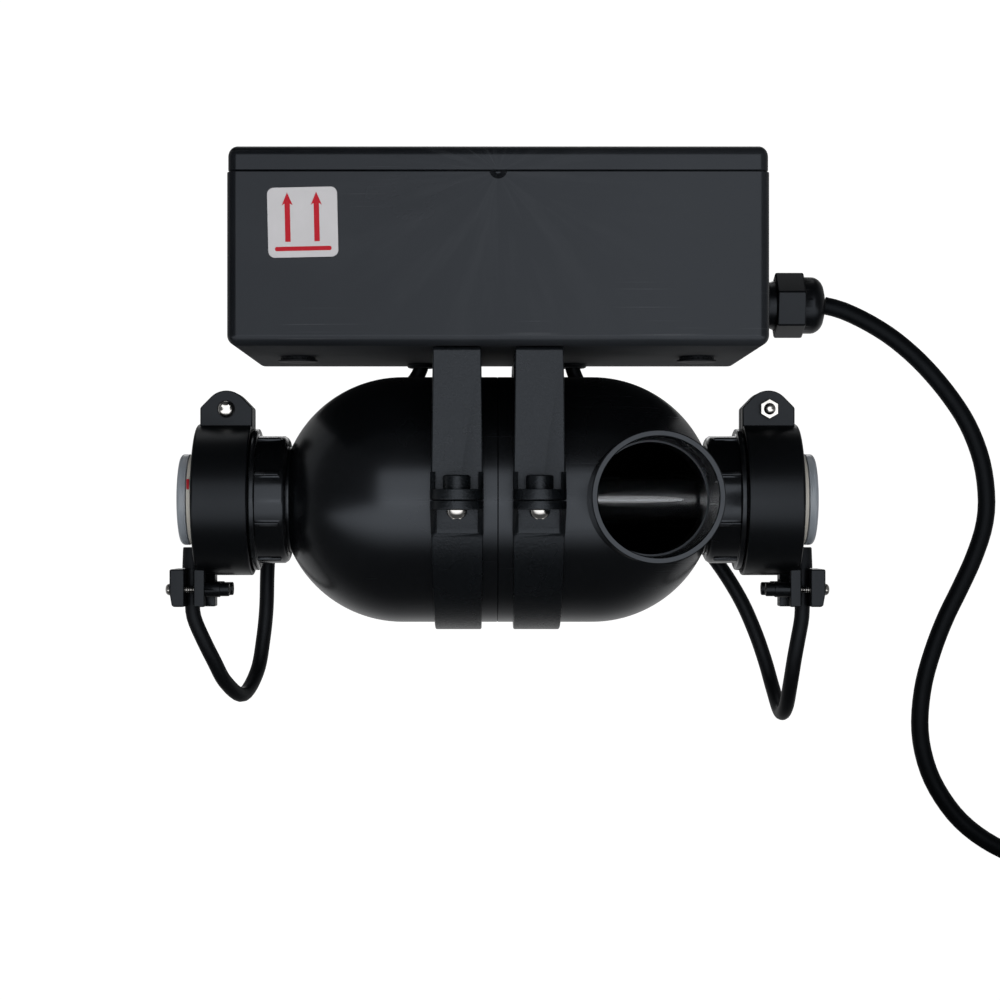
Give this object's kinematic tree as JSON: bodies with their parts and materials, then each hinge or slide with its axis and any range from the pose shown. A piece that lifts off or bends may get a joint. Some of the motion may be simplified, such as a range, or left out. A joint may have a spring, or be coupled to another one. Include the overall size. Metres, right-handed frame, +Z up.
{
  "type": "uv clarifier",
  "caption": "Pond UV clarifier: ballast box strapped on a twin-dome chamber with two pipe ports, a lamp in a quartz sleeve between clamped end covers, and a mains lead.",
  "frame": {"origin": "middle of the UV chamber, on the lamp's axis, where the pipework through the two ports carries the unit", "axes": "+X along the lamp towards the mains gland's end, +Y from the front port's side to the rear port's side, +Z up to the box lid"},
  "size_m": [0.4796, 0.249, 0.281],
  "materials": {
    "box_black": "satin",
    "strap_black": "fine grained matte",
    "chamber_black": "smooth satin",
    "gloss_black": "gloss",
    "rubber_black": "matte",
    "stainless_steel": "bright",
    "ballast_grey": "matte",
    "terminal_white": "matte",
    "label_paper": "satin",
    "quartz": "clear",
    "lamp_glass": "clear",
    "ceramic_white": "matte ceramic",
    "lens_clear": "translucent"
  },
  "bodies": {
    "clarifier": {"ballast": "ballast_grey", "blanking_plug_left": "rubber_black", "blanking_plug_right": "rubber_black", "box_base": "box_black", "bracket_screw_left": "stainless_steel", "bracket_screw_right": "stainless_steel", "chamber_left": "chamber_black", "chamber_right": "chamber_black", "gland_body": "gloss_black", "gland_locknut": "gloss_black", "lamp_cap_left": "ceramic_white", "lamp_cap_right": "ceramic_white", "lamp_lead_left": "rubber_black", "lamp_lead_right": "rubber_black", "lamp_tube": "lamp_glass", "lead_grommet_left": "rubber_black", "lead_grommet_right": "rubber_black", "mains_cable": "rubber_black", "mains_cable_coil": "rubber_black", "mains_plug": "rubber_black", "orientation_label": "label_paper", "quartz_sleeve": "quartz", "sleeve_seal_left": "rubber_black", "sleeve_seal_right": "rubber_black", "strap_band_left": "strap_black", "strap_band_right": "strap_black", "strap_bracket_left": "strap_black", "strap_bracket_right": "strap_black", "strap_screw_left_front": "stainless_steel", "strap_screw_left_rear": "stainless_steel", "strap_screw_right_front": "stainless_steel", "strap_screw_right_rear": "stainless_steel", "terminal_block": "terminal_white"},
    "lid": {"box_lid": "box_black", "lid_gasket": "rubber_black", "lid_screw_1": "stainless_steel", "lid_screw_2": "stainless_steel", "lid_screw_3": "stainless_steel", "lid_screw_4": "stainless_steel"},
    "cover_right": {"end_cover_right": "chamber_black", "end_lens_right": "lens_clear", "grip_jaw_right": "chamber_black", "grip_screw_front_right": "stainless_steel", "grip_screw_rear_right": "stainless_steel", "lead_boot_right": "rubber_black", "cover_screw_right": "stainless_steel", "cover_nut_right": "stainless_steel", "lamp_socket_right": "terminal_white"},
    "nut_right": {"sleeve_nut_right": "gloss_black"},
    "cover_left": {"end_cover_left": "chamber_black", "end_lens_left": "lens_clear", "grip_jaw_left": "chamber_black", "grip_screw_front_left": "stainless_steel", "grip_screw_rear_left": "stainless_steel", "lead_boot_left": "rubber_black", "cover_screw_left": "stainless_steel", "cover_nut_left": "stainless_steel", "lamp_socket_left": "terminal_white"},
    "nut_left": {"sleeve_nut_left": "gloss_black"},
    "gland_nut": {"gland_dome_nut": "gloss_black"}
  },
  "joints": [
    {"name": "lid_lift", "type": "slide", "parent": "clarifier", "child": "lid", "axis": [0, 0, 1], "range_m": [0, 0.06]},
    {"name": "end_cover_right_pull", "type": "slide", "parent": "clarifier", "child": "cover_right", "axis": [1, 0, 0], "range_m": [0, 0.025], "deforming": ["lamp_lead_right"]},
    {"name": "end_cover_left_pull", "type": "slide", "parent": "clarifier", "child": "cover_left", "axis": [-1, 0, 0], "range_m": [0, 0.025], "deforming": ["lamp_lead_left"]},
    {"name": "sleeve_nut_right_turn", "type": "hinge", "parent": "clarifier", "child": "nut_right", "pos_m": [0.094, 0, 0], "axis": [1, 0, 0], "continuous": true},
    {"name": "sleeve_nut_left_turn", "type": "hinge", "parent": "clarifier", "child": "nut_left", "pos_m": [-0.094, 0, 0], "axis": [-1, 0, 0], "continuous": true},
    {"name": "gland_dome_nut_turn", "type": "hinge", "parent": "clarifier", "child": "gland_nut", "pos_m": [0.1152, 0, 0.077], "axis": [1, 0, 0], "continuous": true}
  ]
}
